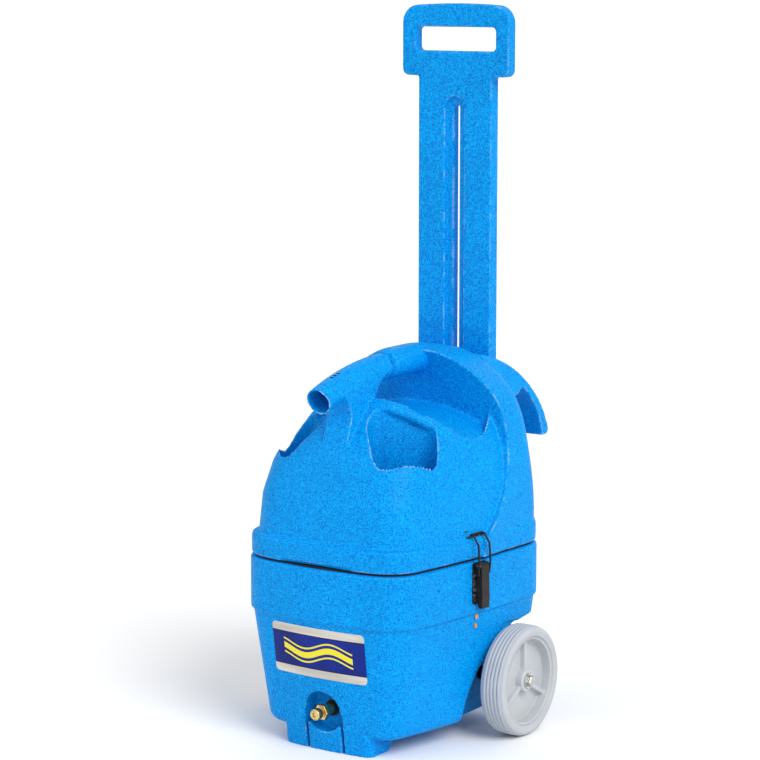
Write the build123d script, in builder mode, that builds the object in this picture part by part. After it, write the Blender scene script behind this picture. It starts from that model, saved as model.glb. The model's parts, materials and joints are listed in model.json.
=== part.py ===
"""Portable carpet extractor: wheeled base tank, lift-off recovery dome, slide-down pull handle.

Millimetres.  +X is the object's left-hand side seen from behind, the hose side faces -Y,
+Z is up and the floor is Z = 0.  The origin is on the floor under the middle of the object.
"""
import os
from math import atan2, cos, radians, sin, sqrt

from build123d import *

os.makedirs("parts", exist_ok=True)

# ---------------------------------------------------------------- driving dimensions
WALL = 4.5                # moulded wall
FIT = 0.3                 # air left between neighbouring bodies

# wheels
WHEEL_R = 76.2            # six-inch wheel
WHEEL_W = 38.0
WHEEL_OUT_X = 192.0       # outer face of each wheel
AXLE_Y = 22.0
AXLE_R = 6.35
HUB_R = 61.0              # outside of the hub rim, inside of the tyre

# body plan at the joint line between base and dome
FRONT_Y = -221.0          # front, on the centre line
FRONT_SAG = 16.0          # how far the front corner lies behind the front centre
CORNER_X = 126.5
SIDE_X = 155.0
SIDE_Y = -52.0
REAR_X = 167.0
REAR_Y = 116.0
FRONT_R = 58.0
REAR_R = 52.0

# levels
FOOT_TOP_Z = 40.0
TANK_FLOOR_Z = 25.0       # underside of the tank
TANK_BOTTOM_R = 11.5
BELT_BOTTOM_Z = 182.0
BELT_TOP_Z = 255.0
SKIRT_BOTTOM_Z = 258.0
SKIRT_TOP_Z = 288.0
BELT_STEP = 3.5           # how far the lower tank steps in under the belt
TANK_DRAFT = 0.135        # inward slope of the lower tank, mm per mm

# foot, grooves and coupling niche
FOOT_X = 71.0
FOOT_LENGTH = 46.0
NICHE_R = 28.5
NICHE_Z = 56.0
NICHE_BACK_Y = -176.0
GROOVE_W = 4.0

# wheel recess in the lower rear of the tank
RECESS_X = 110.0          # inner wall of each recess
RECESS_R = 130.0
RECESS_Y = 73.0
RECESS_Z = 25.0
TYRE_GAP = 0.7            # air between the tyre's inner face and the tank
TYRE_CLEAR_R = WHEEL_R + 2.5

# dome
HUMP_TOP_Z = 521.0
HUMP_REAR_Y = 111.0
HUMP_REAR_R = 44.0
VALLEY_RX, VALLEY_RY = 125.0, 98.0
VALLEY_Y = -10.0
VALLEY_FRONT = 108.5
VALLEY_FLOOR_Z = 444.0
VALLEY_SIDE_Z = 408.0
TUBE_OD = 37.0
TUBE_ID = 32.5
CUFF_L = 16.0              # straight length of bore that takes the hose cuff
TUBE_END = (-208.0, 476.0)       # Y, Z of the middle of the tube's mouth
TUBE_REAR = (-59.0, 504.5)
TUBE_RISE = radians(20.5)         # slope of the tube at its mouth
KNUCKLE_R = 20.0
KNUCKLE_FRONT = (-52.0, 506.0)

# pull handle
HANDLE_FRONT_Y = 122.0
HANDLE_T = 20.0
SHAFT_X = 60.5
GRIP_X = 87.5
HANDLE_BOTTOM_Z = 395.0
GRIP_BOTTOM_Z = 888.5
HANDLE_TOP_Z = 989.0
HAND_HOLE_X = 65.0
HAND_HOLE_Z = (923.5, 956.4)
CHANNEL_X = 15.5
CHANNEL_TOP_Z = 861.0
SLOT_W = 8.0
SLOT_TOP_Z = 850.0
HANDLE_SLIDE = 370.0      # travel, down from the raised position
GUIDE_Z = 420.0           # guide bolt height

# rear hood
HOOD_TIP_Y = 221.0
HOOD_TIP_Z = 385.0
HOOD_T = 19.0

# latches
LATCH_Y = -56.0
LATCH_Z = 250.0           # lever hinge height
LEVER_W = 15.5
LEVER_L = 58.0
LEVER_T = 9.0
BAIL_WIRE_R = 1.4
BAIL_HALF = 11.5          # half the distance between the bail's legs
BAIL_PIVOT_DROP = 12.0


def finish(part, name):
    """Labels a finished piece and writes it as its own STEP file."""
    part.label = name
    export_step(part, f"parts/{name}.step")


def mirrored(part):
    """The same piece on the other side of the centre plane."""
    return mirror(part, about=Plane.YZ)


def both_sides(part):
    """The piece and its mirror image as one group of separate solids."""
    return Compound(children=[part, mirrored(part)])


def draw_plan(front=-FRONT_Y, corner=CORNER_X, side=SIDE_X, rear_x=REAR_X, rear=REAR_Y,
              front_r=FRONT_R, rear_r=REAR_R):
    """Closed body outline: bowed front, tapering bowed sides, flat rear, round corners."""
    sag = FRONT_SAG * (corner / CORNER_X) ** 2
    front_left, front_right = (-corner, sag - front), (corner, sag - front)
    rear_left, rear_right = (-rear_x, rear), (rear_x, rear)
    with BuildLine() as outline:
        ThreePointArc(front_left, (0, -front), front_right)
        ThreePointArc(front_right, (side, SIDE_Y), rear_right)
        Line(rear_right, rear_left)
        ThreePointArc(rear_left, (-side, SIDE_Y), front_left)
    make_face(outline.edges())
    fillet(vertices().group_by(Axis.Y)[-1], radius=rear_r)
    fillet(vertices().group_by(Axis.Y)[0], radius=front_r)


def draw_grown_plan(grow):
    """The same outline, grown outward by the given amount on every side."""
    draw_plan(-FRONT_Y + grow, CORNER_X + grow, SIDE_X + grow, REAR_X + grow, REAR_Y + grow,
              max(FRONT_R + grow, 12), max(REAR_R + grow, 12))


def tank_inset(z):
    """How far the drafted lower tank lies inside the belt at height z."""
    return BELT_STEP + TANK_DRAFT * (BELT_BOTTOM_Z - z)


# ================================================================ base
def lower_tank(inset, bottom_z, top_z):
    """Drafted lower tank volume, set in by the given wall."""
    with BuildPart() as body:
        for z in (bottom_z, top_z):
            with BuildSketch(Plane.XY.offset(z)):
                draw_grown_plan(-tank_inset(z) - inset)
        loft()
    return body.part


def wheel_recess(extra):
    """Space cut from one lower rear corner; extra grows it by the wall."""
    with BuildPart() as body:
        with BuildSketch(Plane.YZ.offset(RECESS_X - extra)):
            with Locations((RECESS_Y, RECESS_Z)):
                Circle(RECESS_R + extra)
            with Locations((RECESS_Y + 100, (RECESS_Z + RECESS_R + extra) / 2)):
                Rectangle(200, RECESS_Z + RECESS_R + extra)
        extrude(amount=120)
        # clearance for the top of the tyre
        with BuildSketch(Plane.YZ.offset(WHEEL_OUT_X - WHEEL_W - TYRE_GAP - extra)):
            with Locations((AXLE_Y, WHEEL_R)):
                Circle(TYRE_CLEAR_R + extra)
        extrude(amount=WHEEL_W)
        with BuildSketch(Plane.XY):
            Rectangle(600, 600)
        extrude(amount=-400, mode=Mode.SUBTRACT)
    return body.part


def niche(extra, back_y):
    """Round-topped pocket in the front wall around the coupling."""
    with BuildPart() as body:
        with BuildSketch(Plane.XZ.offset(-back_y)):
            with Locations((0, NICHE_Z)):
                Circle(NICHE_R + extra)
            with Locations((0, NICHE_Z - 9 - extra / 2)):
                Rectangle(2 * (NICHE_R + extra), 18 + extra)
        extrude(amount=80)
    return body.part


with BuildPart() as belt_solid:
    with BuildSketch(Plane.XY.offset(BELT_BOTTOM_Z)):
        draw_grown_plan(0)
    extrude(amount=BELT_TOP_Z - BELT_BOTTOM_Z)
    fillet(faces().sort_by(Axis.Z)[-1].edges(), radius=4)
    fillet(faces().sort_by(Axis.Z)[0].edges(), radius=3)

whole_tank = lower_tank(0, 0, BELT_BOTTOM_Z + 2)
with BuildPart() as tank_solid:
    add(whole_tank)
    with BuildSketch(Plane.XY):
        Rectangle(600, 600)
    extrude(amount=TANK_FLOOR_Z + TANK_BOTTOM_R, mode=Mode.SUBTRACT)
    # rounded bottom edge, in steps
    for turn in (0, 20, 42, 65, 90):
        z = TANK_FLOOR_Z + TANK_BOTTOM_R * (1 - cos(radians(turn)))
        with BuildSketch(Plane.XY.offset(z)):
            draw_grown_plan(-tank_inset(z) - TANK_BOTTOM_R * (1 - sin(radians(turn))) - 0.15)
    loft(ruled=True)
outer_tank = tank_solid.part

with BuildPart() as foot_solid:
    add(whole_tank)
    with BuildSketch(Plane.YZ.offset(-FOOT_X)):
        with BuildLine():
            foot_rear = FRONT_Y + tank_inset(0) + FOOT_LENGTH
            Polyline((-300, 0), (foot_rear, 0), (foot_rear + 45, FOOT_TOP_Z + 5), (-300, FOOT_TOP_Z + 5),
                     close=True)
        make_face()
    extrude(amount=2 * FOOT_X, mode=Mode.INTERSECT)
    fillet(edges().filter_by(lambda e: abs(e.tangent_at(0.5).Z) > 0.9).sort_by(Axis.Y)[:2], radius=12)

tank_space = lower_tank(WALL, TANK_FLOOR_Z + WALL, BELT_BOTTOM_Z)
recess_left, recess_walls = wheel_recess(0), wheel_recess(WALL)

with BuildPart() as inner_space:
    add(tank_space)
    with BuildSketch(Plane.XY.offset(BELT_BOTTOM_Z)):
        draw_grown_plan(-WALL - BELT_STEP)
    extrude(amount=BELT_TOP_Z - BELT_BOTTOM_Z - 6)
    for walls in (recess_walls, mirrored(recess_walls), niche(WALL, NICHE_BACK_Y + WALL)):
        add(walls, mode=Mode.SUBTRACT)

RIM_W = 15.0
COUPLING_BORE_R = 5.2
with BuildPart() as base_tank:
    add(outer_tank)
    add(belt_solid.part)
    add(foot_solid.part)
    for cut in (recess_left, mirrored(recess_left), niche(0, NICHE_BACK_Y), inner_space.part):
        add(cut, mode=Mode.SUBTRACT)
    # opening in the rim
    with BuildSketch(Plane.XY.offset(BELT_TOP_Z - 8)):
        draw_grown_plan(-RIM_W)
    extrude(amount=20, mode=Mode.SUBTRACT)
    # tongue grooves beside the niche, down to the floor
    with BuildSketch(Plane.XY):
        with Locations((-NICHE_R, NICHE_BACK_Y - 10), (NICHE_R, NICHE_BACK_Y - 10)):
            Rectangle(GROOVE_W, 40)
    extrude(amount=NICHE_Z, mode=Mode.SUBTRACT)
    # coupling bore through the back of the niche
    with BuildSketch(Plane.XZ.offset(-NICHE_BACK_Y + 5)):
        with Locations((0, NICHE_Z)):
            Circle(COUPLING_BORE_R)
    extrude(amount=-20, mode=Mode.SUBTRACT)
    # axle bore
    with BuildSketch(Plane.YZ.offset(-150)):
        with Locations((AXLE_Y, WHEEL_R)):
            Circle(AXLE_R + 0.1)
    extrude(amount=300, mode=Mode.SUBTRACT)


# ================================================================ recovery dome
# height: half-widths and front of the front lobe, from the skirt to its crown
LOBE_LEVELS = (
    # z, front, corner, side, rear side
    (280.0, 213.0, 116.0, 149.0, 158.0),
    (340.0, 207.0, 112.0, 144.0, 153.0),
    (381.0, 189.0, 108.0, 134.0, 143.0),
    (409.0, 173.0, 99.0, 123.0, 132.0),
    (430.0, 155.0, 85.0, 111.0, 120.0),
    (448.0, 136.0, 69.0, 97.0, 107.0),
    (462.0, 119.0, 54.0, 81.0, 93.0),
    (474.0, 103.0, 40.0, 62.0, 76.0),
)
POCKET_CORNERS = ((20, -131), (72, -182), (121, -108), (97, -71))
POCKET_BOW = (105.0, -150.5)      # middle of the outer side, on the lobe's contour
POCKET_FLOOR_Z = 300.0


def front_lobe(inset):
    """Front lobe of the dome, set in by the given wall."""
    with BuildPart() as lobe:
        for z, front, corner, side, rear_side in LOBE_LEVELS:
            with BuildSketch(Plane.XY.offset(z - inset)):
                draw_plan(front - inset, corner - inset, side - inset, rear_side - inset, 40 + inset,
                          min(FRONT_R, 0.85 * corner), 8)
        loft(ruled=True)
    return lobe.part


def valley(inset):
    """Hand space behind the front lobe, under the tube; its floor arches down to the sides."""
    with BuildPart() as space:
        with BuildSketch(Plane.XZ.offset(VALLEY_FRONT + inset)):
            with BuildLine():
                ThreePointArc((-130, VALLEY_SIDE_Z - inset), (0, VALLEY_FLOOR_Z - inset), (130, VALLEY_SIDE_Z - inset))
                Polyline((130, VALLEY_SIDE_Z - inset), (130, 560), (-130, 560), (-130, VALLEY_SIDE_Z - inset))
            make_face()
        extrude(amount=-200)
        with BuildSketch(Plane.XY.offset(380)):
            with Locations((0, VALLEY_Y)):
                Ellipse(VALLEY_RX + inset, VALLEY_RY + inset)
        extrude(amount=200, mode=Mode.INTERSECT)
    return space.part


def hump(inset):
    """Rear hump: an arch across, with a leaning concave front face, set in by the wall."""
    rear_y = HUMP_REAR_Y - inset
    with BuildPart() as body:
        with BuildSketch(Plane.YZ.offset(-170)):
            with BuildLine():
                Line((-50 + inset, SKIRT_BOTTOM_Z), (-36 + inset, 287))
                ThreePointArc((-36 + inset, 287), (33 + inset, 430), (10 + inset, 530))
                Polyline((10 + inset, 530), (rear_y, 530), (rear_y, SKIRT_BOTTOM_Z), (-50 + inset, SKIRT_BOTTOM_Z))
            make_face()
        extrude(amount=340)
        with BuildSketch(Plane.XZ.offset(200)):
            with BuildLine():
                Spline((160 - inset, SKIRT_BOTTOM_Z), (158.5 - inset, 330), (149.5 - inset, 390),
                       (121 - 0.9 * inset, 467 - 0.5 * inset), (62, 511 - inset), (0, HUMP_TOP_Z - inset),
                       tangents=((0, 1), (-1, 0)))
                mirror(about=Plane.YZ)
                Line((-160 + inset, SKIRT_BOTTOM_Z), (160 - inset, SKIRT_BOTTOM_Z))
            make_face()
        extrude(amount=-400, mode=Mode.INTERSECT)
        arch_edges = faces().sort_by(Axis.Y)[-1].edges().sort_by(Axis.Z)[1:]
        fillet(arch_edges, radius=HUMP_REAR_R)
    return body.part


def pocket(extra):
    """Bottle pocket on one side of the lobe; extra grows it by the wall."""
    with BuildPart() as space:
        with BuildSketch(Plane.XY.offset(POCKET_FLOOR_Z - extra)):
            with BuildLine():
                ThreePointArc(POCKET_CORNERS[1], POCKET_BOW, POCKET_CORNERS[2])
                Polyline(POCKET_CORNERS[2], POCKET_CORNERS[3], POCKET_CORNERS[0], POCKET_CORNERS[1])
            make_face()
            fillet(vertices(), radius=22)
            if extra:
                offset(amount=extra)
        extrude(amount=200)
    return space.part


def hood(inset):
    """Rear hood behind the handle, set in by the given wall, before its hollow is cut."""
    with BuildPart() as body:
        with BuildSketch(Plane.YZ.offset(-110)):
            with BuildLine():
                ThreePointArc((100, 507 - inset), (181 - 0.7 * inset, 461 - 0.7 * inset),
                              (HOOD_TIP_Y - inset, HOOD_TIP_Z))
                Polyline((HOOD_TIP_Y - inset, HOOD_TIP_Z), (HOOD_TIP_Y - 5, HOOD_TIP_Z - 5),
                         (HOOD_TIP_Y - HOOD_T, HOOD_TIP_Z - 5), (100, HOOD_TIP_Z - 5), (100, 507 - inset))
            make_face()
        extrude(amount=220)
        with BuildSketch(Plane.XZ.offset(-90)):
            with BuildLine():
                Spline((100 - inset, HOOD_TIP_Z - 10), (94 - inset, 433), (66 - inset, 500 - inset),
                       (0, 513 - inset), tangents=((0, 1), (-1, 0)))
                mirror(about=Plane.YZ)
                Line((-100 + inset, HOOD_TIP_Z - 10), (100 - inset, HOOD_TIP_Z - 10))
            make_face()
        extrude(amount=-200, mode=Mode.INTERSECT)
    return body.part


HOOD_ROOF_Z = 432.0       # top of the hollow under the hood
with BuildPart() as hood_hollow:
    with BuildSketch(Plane.YZ.offset(-120)):
        with BuildLine():
            ThreePointArc((HOOD_TIP_Y - HOOD_T, HOOD_TIP_Z - 30), (198, 405), (168, HOOD_ROOF_Z + 22))
            Polyline((168, HOOD_ROOF_Z + 22), (150, HOOD_ROOF_Z + 14), (HUMP_REAR_Y, HOOD_ROOF_Z),
                     (HUMP_REAR_Y, HOOD_TIP_Z - 30), (HOOD_TIP_Y - HOOD_T, HOOD_TIP_Z - 30))
        make_face()
    extrude(amount=240)

with BuildPart() as handle_passage:
    with BuildSketch(Plane.XY.offset(370)):
        with Locations((0, HANDLE_FRONT_Y + HANDLE_T / 2)):
            Rectangle(2 * SHAFT_X + 2.4, HANDLE_T + 2.4)
    extrude(amount=180)

with BuildPart() as skirt_solid:
    with BuildSketch(Plane.XY.offset(SKIRT_BOTTOM_Z)):
        draw_grown_plan(-1.5)
    extrude(amount=SKIRT_TOP_Z - SKIRT_BOTTOM_Z)
    fillet(faces().sort_by(Axis.Z)[-1].edges(), radius=6)
    fillet(faces().sort_by(Axis.Z)[0].edges(), radius=2)

with BuildPart() as tube_solid:
    with BuildLine():
        ThreePointArc(Vector(0, *TUBE_END), Vector(0, -145, 494.5), Vector(0, *TUBE_REAR))
    with BuildSketch(Plane(origin=(0, *TUBE_END), z_dir=(0, cos(TUBE_RISE), sin(TUBE_RISE)))):
        Circle(TUBE_OD / 2)
    sweep()

with BuildPart() as tube_bore:
    mouth_turn = Vector(0, cos(TUBE_RISE), sin(TUBE_RISE))
    with BuildLine() as bore_path:
        cuff_line = Line(Vector(0, *TUBE_END), Vector(0, *TUBE_END) + CUFF_L * mouth_turn)
        TangentArc(cuff_line @ 1, Vector(0, -130, 497), tangent=mouth_turn)
    with BuildSketch(Plane(origin=(0, *TUBE_END), z_dir=mouth_turn)):
        Circle(TUBE_ID / 2)
    sweep(path=bore_path.line)
    with BuildSketch(Plane.XY.offset(430)):
        with Locations((0, -137)):
            Circle(15.5)
    extrude(amount=72)

with BuildPart() as neck_solid:
    with BuildSketch(Plane.YZ.offset(-20)):
        with BuildLine():
            Polyline((-178, 396), (-158, 452), (-172, 484), (-100, 505), (-68, 500))
            ThreePointArc((-68, 500), (-95, 481), (-106, 452))
            Polyline((-106, 452), (-110, 396), (-178, 396))
        make_face()
    extrude(amount=40)
    fillet(edges().filter_by(Axis.X).group_by(Axis.Y)[0], radius=2)

with BuildPart() as knuckle_solid:
    knuckle_axis = Plane(origin=(0, *KNUCKLE_FRONT), z_dir=(0, 1, 0))
    with BuildSketch(knuckle_axis):
        Circle(KNUCKLE_R)
    extrude(amount=90)
    fillet(faces().sort_by(Axis.Y)[0].edges(), radius=8)
    # narrower core under the crevice, between tube and knuckle
    with BuildSketch(Plane(origin=(0, TUBE_REAR[0] - 4, TUBE_REAR[1]), z_dir=(0, 1, 0))):
        Circle(KNUCKLE_R - 9)
    extrude(amount=40)

dome_space_lobe = front_lobe(WALL)
dome_space_hump = hump(WALL)
pocket_left, pocket_liner = pocket(0), pocket(WALL)
valley_space, valley_liner = valley(0), valley(WALL)

with BuildPart() as dome_shell:
    add(front_lobe(0))
    add(valley_space, mode=Mode.SUBTRACT)
    add(hump(0))
    add(skirt_solid.part)
    add(hood(0))
    add(neck_solid.part)
    add(knuckle_solid.part)
    add(tube_solid.part)
    for cut in (pocket_left, mirrored(pocket_left), hood_hollow.part, handle_passage.part):
        add(cut, mode=Mode.SUBTRACT)

DOME_FLOOR_Z = SKIRT_BOTTOM_Z + 5.0
with BuildPart() as dome_space:
    add(dome_space_lobe)
    with BuildSketch(Plane.XY.offset(DOME_FLOOR_Z)):
        draw_grown_plan(-1.5 - WALL - 4)
    extrude(amount=25)
    add(valley_liner, mode=Mode.SUBTRACT)
    add(dome_space_hump)
    for solid in (pocket_liner, mirrored(pocket_liner)):
        add(solid, mode=Mode.SUBTRACT)
    with BuildSketch(Plane.XY.offset(200)):
        Rectangle(500, 500)
    extrude(amount=DOME_FLOOR_Z - 200, mode=Mode.SUBTRACT)

STANDPIPE_R = 17.0
STANDPIPE_WALL = 2.0
STANDPIPE_Y = 66.0
with BuildPart() as dome_shell_done:
    add(dome_shell.part)
    add(dome_space.part, mode=Mode.SUBTRACT)
    add(tube_bore.part, mode=Mode.SUBTRACT)
    # standpipe hole in the dome floor
    with BuildSketch(Plane.XY.offset(SKIRT_BOTTOM_Z - 5)):
        with Locations((0, STANDPIPE_Y)):
            Circle(STANDPIPE_R + 0.1)
    extrude(amount=15, mode=Mode.SUBTRACT)
    # guide bolt hole in the rear wall
    with BuildSketch(Plane.XZ.offset(-HUMP_REAR_Y - 5)):
        with Locations((0, GUIDE_Z)):
            Circle(3.1)
    extrude(amount=20, mode=Mode.SUBTRACT)
    # shallow notch in the front of the skirt's lower edge
    with BuildSketch(Plane.XZ.offset(-FRONT_Y - 7.5)):
        with Locations((0, SKIRT_BOTTOM_Z)):
            Rectangle(112, 9)
    extrude(amount=40, mode=Mode.SUBTRACT)
finish(dome_shell_done.part, "dome_shell")


# ================================================================ pull handle
CHANNEL_DEPTH = 6.0
SLOT_BOTTOM_Z = GUIDE_Z - SLOT_W / 2 - 2
with BuildPart() as pull_handle:
    with BuildSketch(Plane.XZ.offset(-HANDLE_FRONT_Y)) as handle_outline:
        with Locations((0, (HANDLE_BOTTOM_Z + GRIP_BOTTOM_Z + 20) / 2)):
            Rectangle(2 * SHAFT_X, GRIP_BOTTOM_Z + 20 - HANDLE_BOTTOM_Z)
        with BuildLine():
            shoulder_z = HANDLE_TOP_Z - 4
            Polyline((-GRIP_X, shoulder_z), (-GRIP_X, GRIP_BOTTOM_Z), (GRIP_X, GRIP_BOTTOM_Z), (GRIP_X, shoulder_z))
            ThreePointArc((-GRIP_X, shoulder_z), (0, HANDLE_TOP_Z), (GRIP_X, shoulder_z))
        make_face()
        fillet(vertices().group_by(Axis.Y)[-1], radius=25)
        fillet(vertices().filter_by(lambda v: abs(v.Y - GRIP_BOTTOM_Z) < 1 and abs(v.X) > SHAFT_X + 1), radius=10)
        with Locations((0, sum(HAND_HOLE_Z) / 2)):
            RectangleRounded(2 * HAND_HOLE_X, HAND_HOLE_Z[1] - HAND_HOLE_Z[0], 6, mode=Mode.SUBTRACT)
    extrude(amount=-HANDLE_T)
    fillet(faces().sort_by(Axis.Y)[0].edges(), radius=3)
    fillet(faces().sort_by(Axis.Y)[-1].edges(), radius=3)
    # round-topped channel in the front face, open at the bottom
    with BuildSketch(Plane.XZ.offset(-HANDLE_FRONT_Y)):
        with Locations((0, CHANNEL_TOP_Z - CHANNEL_X)):
            Circle(CHANNEL_X)
        channel_length = CHANNEL_TOP_Z - CHANNEL_X - HANDLE_BOTTOM_Z + 5
        with Locations((0, CHANNEL_TOP_Z - CHANNEL_X - channel_length / 2)):
            Rectangle(2 * CHANNEL_X, channel_length)
    extrude(amount=-CHANNEL_DEPTH, mode=Mode.SUBTRACT)
    # guide slot through the channel floor
    with BuildSketch(Plane.XZ.offset(-HANDLE_FRONT_Y)):
        with Locations((0, (SLOT_TOP_Z + SLOT_BOTTOM_Z) / 2)):
            SlotOverall(SLOT_TOP_Z - SLOT_BOTTOM_Z, SLOT_W, rotation=90)
    extrude(amount=-HANDLE_T, mode=Mode.SUBTRACT)
finish(pull_handle.part, "pull_handle")


# ================================================================ shared shapes
def tube(axis_plane, outer_r, inner_r, length):
    """Plain tube, or rod when inner_r is 0, starting on the plane and running along its normal."""
    with BuildPart() as body:
        with BuildSketch(axis_plane):
            Circle(outer_r)
            if inner_r:
                Circle(inner_r, mode=Mode.SUBTRACT)
        extrude(amount=length)
    return body.part


def hexagon(axis_plane, across_flats, length):
    """Hexagonal prism starting on the plane and running along its normal."""
    with BuildPart() as body:
        with BuildSketch(axis_plane):
            RegularPolygon(across_flats / 2, 6, major_radius=False)
        extrude(amount=length)
        chamfer(faces().sort_by(SortBy.AREA)[-2:].edges().filter_by(GeomType.LINE), length=0.6)
    return body.part


def x_plane(x, y=AXLE_Y, z=WHEEL_R, outward=1):
    return Plane(origin=(x, y, z), x_dir=(0, outward, 0), z_dir=(outward, 0, 0))


def y_plane(y, x=0.0, z=0.0, direction=1):
    return Plane(origin=(x, y, z), x_dir=(1, 0, 0), z_dir=(0, direction, 0))


def z_plane(z, x=0.0, y=0.0):
    return Plane(origin=(x, y, z), x_dir=(1, 0, 0), z_dir=(0, 0, 1))


# ================================================================ wheels
HUB_BORE_R = AXLE_R + 0.08
HUB_IN_X = 158.0
HUB_FACE_X = 186.5
BOSS_R = 16.0
WEB_X = (171.0, 175.0)
SPOKE_ANGLES = (90, 210, 330)
WASHER_T = 1.6
BOLT_AF = 14.0
BOLT_SHANK_R = 4.0
AXLE_END_X = HUB_FACE_X + FIT


def radial_profile(points):
    """Revolves a closed (x, radius) outline about the axle."""
    with BuildPart() as body:
        with BuildSketch(Plane(origin=(0, AXLE_Y, WHEEL_R), x_dir=(1, 0, 0), z_dir=(0, 0, 1))):
            with BuildLine():
                Polyline(*points, close=True)
            make_face()
        revolve(axis=Axis((0, AXLE_Y, WHEEL_R), (1, 0, 0)))
    return body.part


hub_section = radial_profile((
    (HUB_IN_X, HUB_BORE_R), (HUB_FACE_X, HUB_BORE_R), (HUB_FACE_X, BOSS_R - 1.5), (HUB_FACE_X - 1.5, BOSS_R),
    (WEB_X[1], BOSS_R + 1), (WEB_X[1], HUB_R - 6), (WHEEL_OUT_X - 4, HUB_R - 3.5), (WHEEL_OUT_X - 3, HUB_R),
    (WHEEL_OUT_X - WHEEL_W + 3, HUB_R), (WHEEL_OUT_X - WHEEL_W + 4, HUB_R - 3.5), (WEB_X[0], HUB_R - 6),
    (WEB_X[0], BOSS_R), (HUB_IN_X, BOSS_R)))

with BuildPart() as wheel_hub:
    add(hub_section)
    for angle in SPOKE_ANGLES:
        turn = radians(angle)
        reach = (BOSS_R + HUB_R - 3) / 2
        spoke_plane = Plane(
            origin=(WEB_X[1] - 1, AXLE_Y + reach * cos(turn), WHEEL_R + reach * sin(turn)),
            x_dir=(0, cos(turn), sin(turn)), z_dir=(1, 0, 0))
        with BuildSketch(spoke_plane):
            Rectangle(HUB_R - BOSS_R - 1, 8.5)
        extrude(amount=9, taper=8)

GROOVE_COUNT = 4
GROOVE_PITCH = 6.6
tread_points = [(WHEEL_OUT_X - WHEEL_W, HUB_R), (WHEEL_OUT_X - WHEEL_W, WHEEL_R - 4.5),
                (WHEEL_OUT_X - WHEEL_W + 3.5, WHEEL_R - 0.8)]
for groove in range(GROOVE_COUNT):
    groove_x = WHEEL_OUT_X - WHEEL_W / 2 + (groove - (GROOVE_COUNT - 1) / 2) * GROOVE_PITCH
    tread_points += [(groove_x - 1.0, WHEEL_R), (groove_x - 0.5, WHEEL_R - 1.4), (groove_x + 0.5, WHEEL_R - 1.4),
                     (groove_x + 1.0, WHEEL_R)]
tread_points += [(WHEEL_OUT_X - 3.5, WHEEL_R - 0.8), (WHEEL_OUT_X, WHEEL_R - 4.5), (WHEEL_OUT_X, HUB_R + 2),
                 (WHEEL_OUT_X - 1.5, HUB_R)]
tyre = radial_profile(tread_points)

with BuildPart() as hub_washer:
    add(tube(x_plane(HUB_FACE_X + 0.4), 10.5, BOLT_SHANK_R + 0.4, WASHER_T))
bolt_head_x = HUB_FACE_X + 0.4 + WASHER_T
with BuildPart() as axle_bolt:
    add(hexagon(x_plane(bolt_head_x), BOLT_AF, 5.6))
    add(tube(x_plane(AXLE_END_X - 22), BOLT_SHANK_R - 0.05, 0, bolt_head_x + 1 - AXLE_END_X + 22))
with BuildPart() as axle_spacer:
    add(tube(x_plane(RECESS_X + 0.05), 9.5, AXLE_R + 0.05, HUB_IN_X - RECESS_X - 0.35))
SIDES = (("left", lambda part: part), ("right", mirrored))
for side, place in SIDES:
    finish(place(wheel_hub.part), f"wheel_hub_{side}")
    finish(place(tyre), f"tyre_{side}")
finish(both_sides(hub_washer.part), "wheel_washers")
finish(both_sides(axle_bolt.part), "axle_bolts")
finish(both_sides(axle_spacer.part), "axle_spacers")

with BuildPart() as axle:
    add(tube(x_plane(-AXLE_END_X), AXLE_R, 0, 2 * AXLE_END_X))
    for start in (-AXLE_END_X - 1, AXLE_END_X - 24):
        add(tube(x_plane(start), BOLT_SHANK_R, 0, 25), mode=Mode.SUBTRACT)
finish(axle.part, "axle")


# ================================================================ side latches
def circle_through(first, middle, last):
    """Centre and radius of the circle through three points of the plan."""
    (ax, ay), (bx, by), (cx, cy) = first, middle, last
    spread = 2 * (ax * (by - cy) + bx * (cy - ay) + cx * (ay - by))
    a2, b2, c2 = ax * ax + ay * ay, bx * bx + by * by, cx * cx + cy * cy
    centre_x = (a2 * (by - cy) + b2 * (cy - ay) + c2 * (ay - by)) / spread
    centre_y = (a2 * (cx - bx) + b2 * (ax - cx) + c2 * (bx - ax)) / spread
    return centre_x, centre_y, sqrt((ax - centre_x) ** 2 + (ay - centre_y) ** 2)


side_cx, side_cy, side_r = circle_through((CORNER_X, FRONT_Y + FRONT_SAG), (SIDE_X, SIDE_Y), (REAR_X, REAR_Y))
LATCH_X = side_cx + sqrt(side_r ** 2 - (LATCH_Y - side_cy) ** 2)
LATCH_TURN = atan2(side_cy - LATCH_Y, LATCH_X - side_cx)
TANGENT = (sin(LATCH_TURN), cos(LATCH_TURN), 0)
OUTWARD = (cos(LATCH_TURN), -sin(LATCH_TURN), 0)


def latch_plane(out=0.0, along=0.0, up=0.0):
    """Plane on the belt's side wall: x runs rearward, y up, z out of the wall."""
    return Plane(origin=(LATCH_X + out * OUTWARD[0] + along * TANGENT[0],
                         LATCH_Y + out * OUTWARD[1] + along * TANGENT[1], up), x_dir=TANGENT, z_dir=OUTWARD)


def latch_side_plane(along):
    """Plane across the latch: x points out of the wall, y up, z runs forward."""
    return Plane(origin=latch_plane(0, along).origin, x_dir=OUTWARD, z_dir=tuple(-t for t in TANGENT))


def latch_point(out, along, up):
    return latch_plane(out, along, up).origin


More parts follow.
